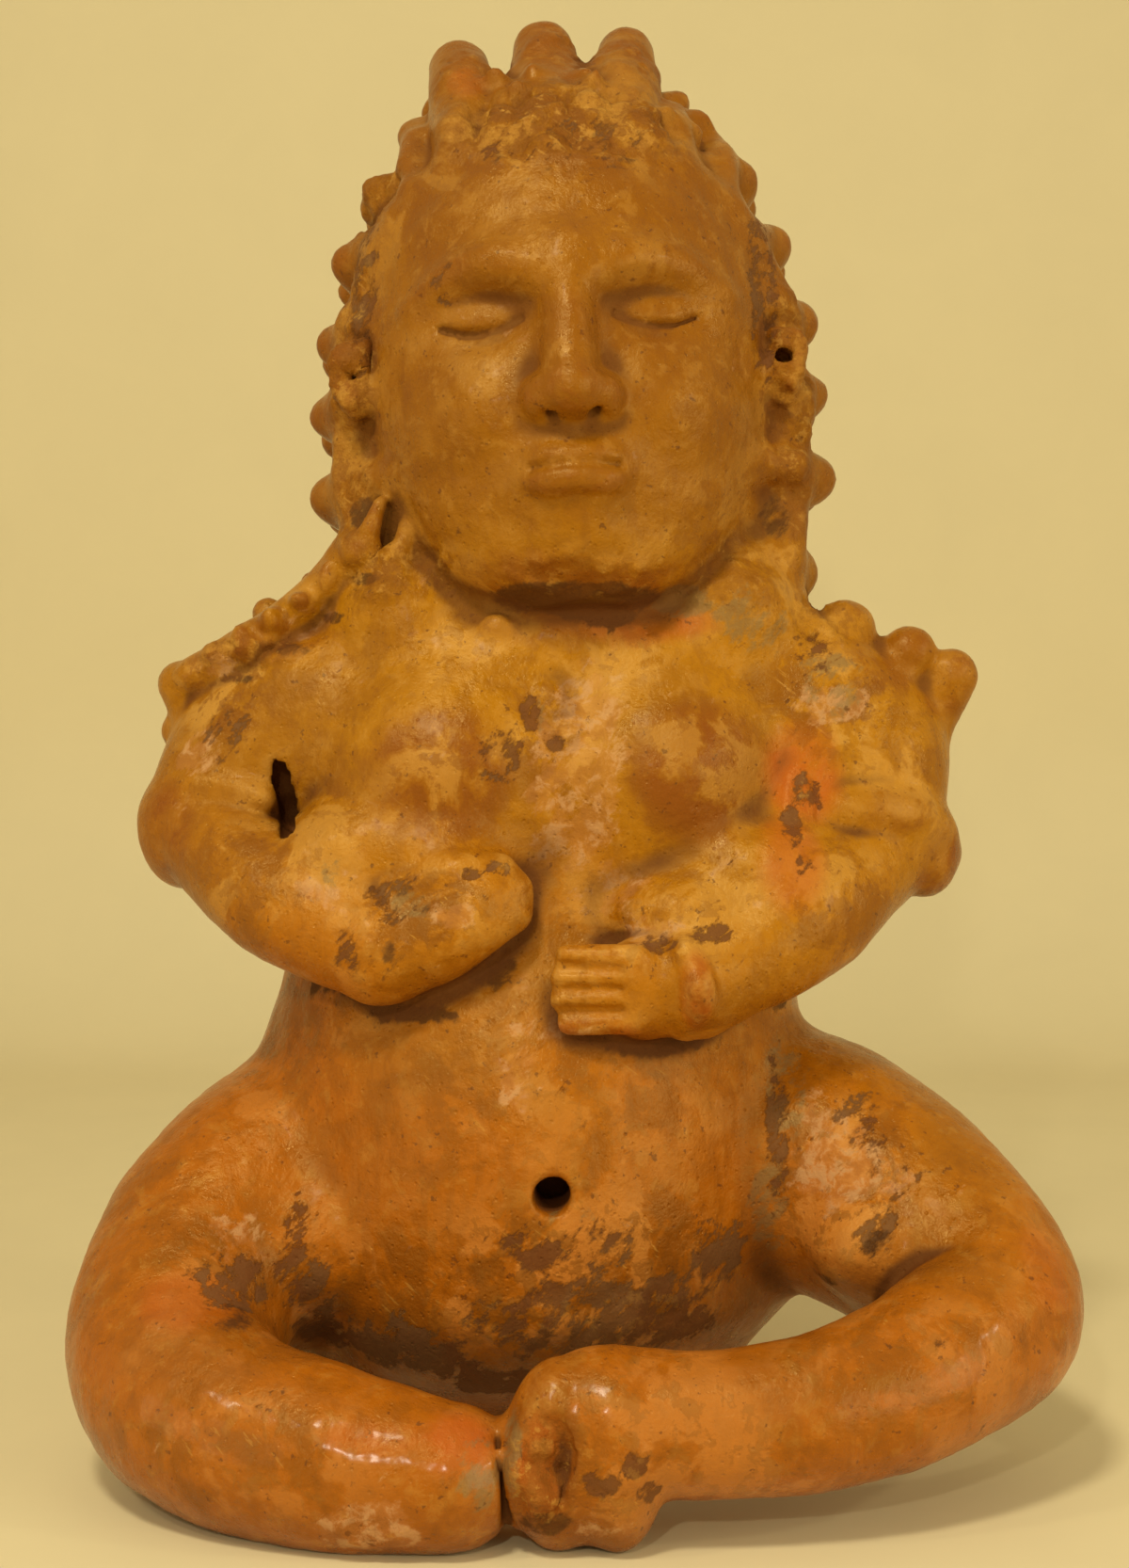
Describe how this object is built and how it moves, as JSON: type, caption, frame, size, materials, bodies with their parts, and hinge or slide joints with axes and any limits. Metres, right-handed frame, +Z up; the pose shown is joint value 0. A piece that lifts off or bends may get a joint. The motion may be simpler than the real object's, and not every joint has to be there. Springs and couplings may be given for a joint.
{
  "type": "terracotta figure",
  "caption": "Hollow hand-built terracotta figure of a seated woman, cross-legged with her hands on her belly, and hair set with rows of clay pellets.",
  "frame": {"origin": "the middle of the flat under the seat, on the surface that the figure sits on", "axes": "+Z up through the head, -Y the way she faces, +X to her left"},
  "size_m": [0.1997, 0.1585, 0.3084],
  "materials": {
    "terracotta": "burnished ochre-orange slip, worn and flaked"
  },
  "bodies": {
    "root": {"terracotta_figure": "terracotta"}
  },
  "joints": []
}
